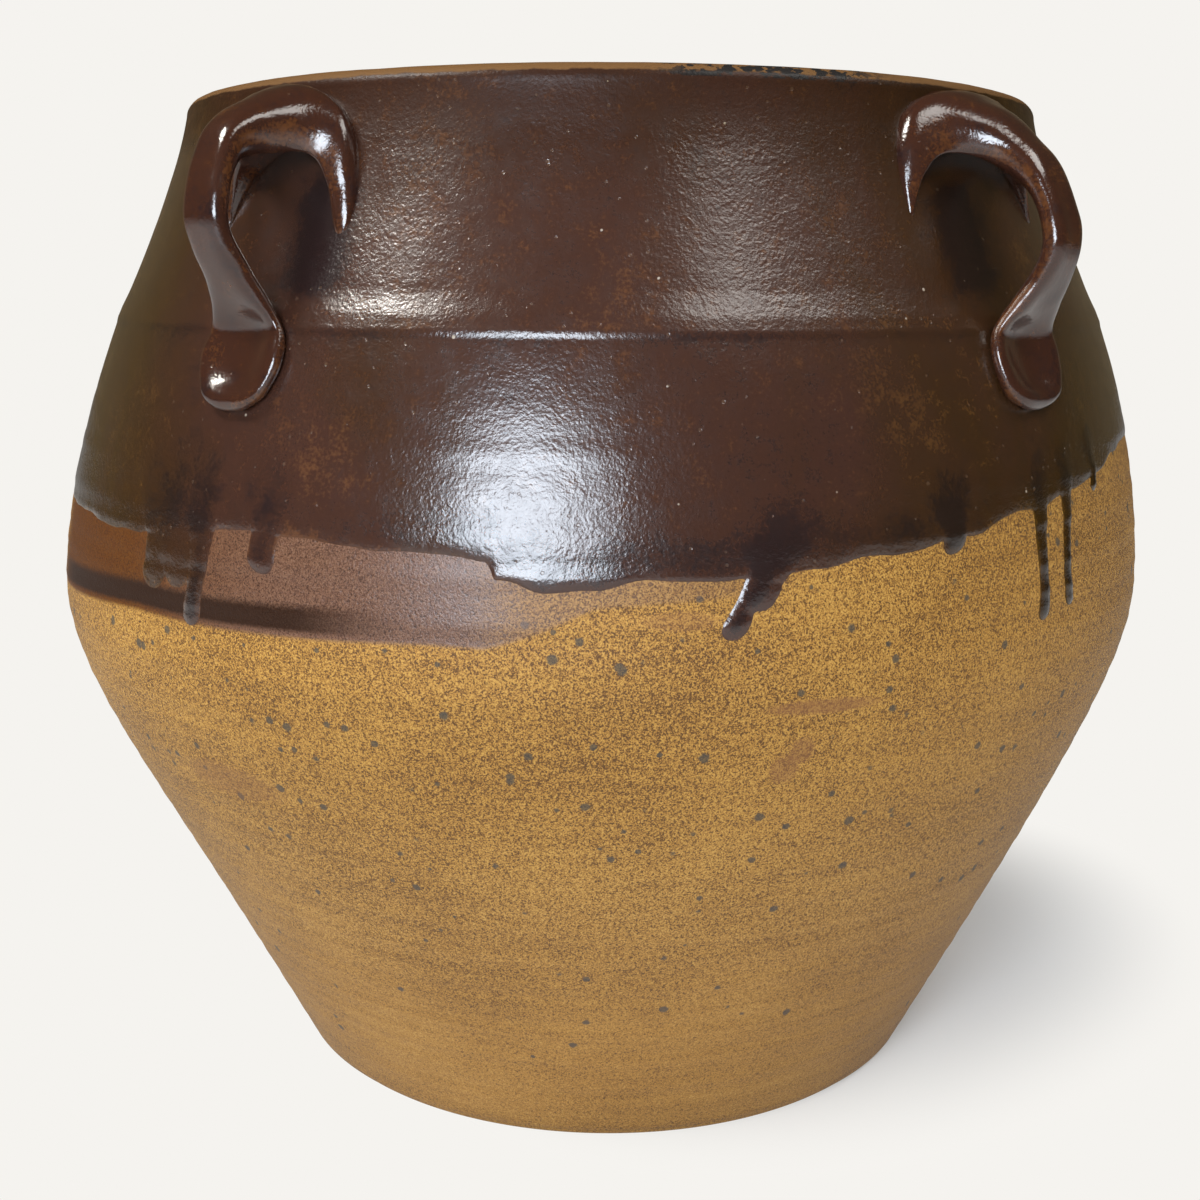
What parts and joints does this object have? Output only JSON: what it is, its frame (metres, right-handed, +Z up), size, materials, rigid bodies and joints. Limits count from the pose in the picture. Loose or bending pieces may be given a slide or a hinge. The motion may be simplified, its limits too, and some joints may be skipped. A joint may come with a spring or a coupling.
{
  "type": "stoneware pot with handles",
  "caption": "Wide-bellied open stoneware pot with a flat foot, a leaning neck over a fine ridge, pulled strap handles under the lip and a dark glaze with runs over its upper half.",
  "frame": {"origin": "centre of the flat foot that the pot stands on", "axes": "+Z up along the pot's turning axis; the two handles that the picture shows are near +X and -Y"},
  "size_m": [0.3445, 0.3452, 0.3],
  "materials": {
    "stoneware": "bare ochre stoneware with iron specks, matt",
    "handle_glaze": "glossy brown glaze, orange brown where it is thin on the edges",
    "brown_glaze": "glossy dark brown glaze with a fine orange-peel surface",
    "lining_glaze": "glossy brown glaze"
  },
  "bodies": {
    "root": {"pot_body": "stoneware", "handle_front_right": "handle_glaze", "handle_front_left": "handle_glaze", "handle_back_left": "handle_glaze", "handle_back_right": "handle_glaze", "glaze_coat": "brown_glaze", "glaze_lining": "lining_glaze"}
  },
  "joints": []
}
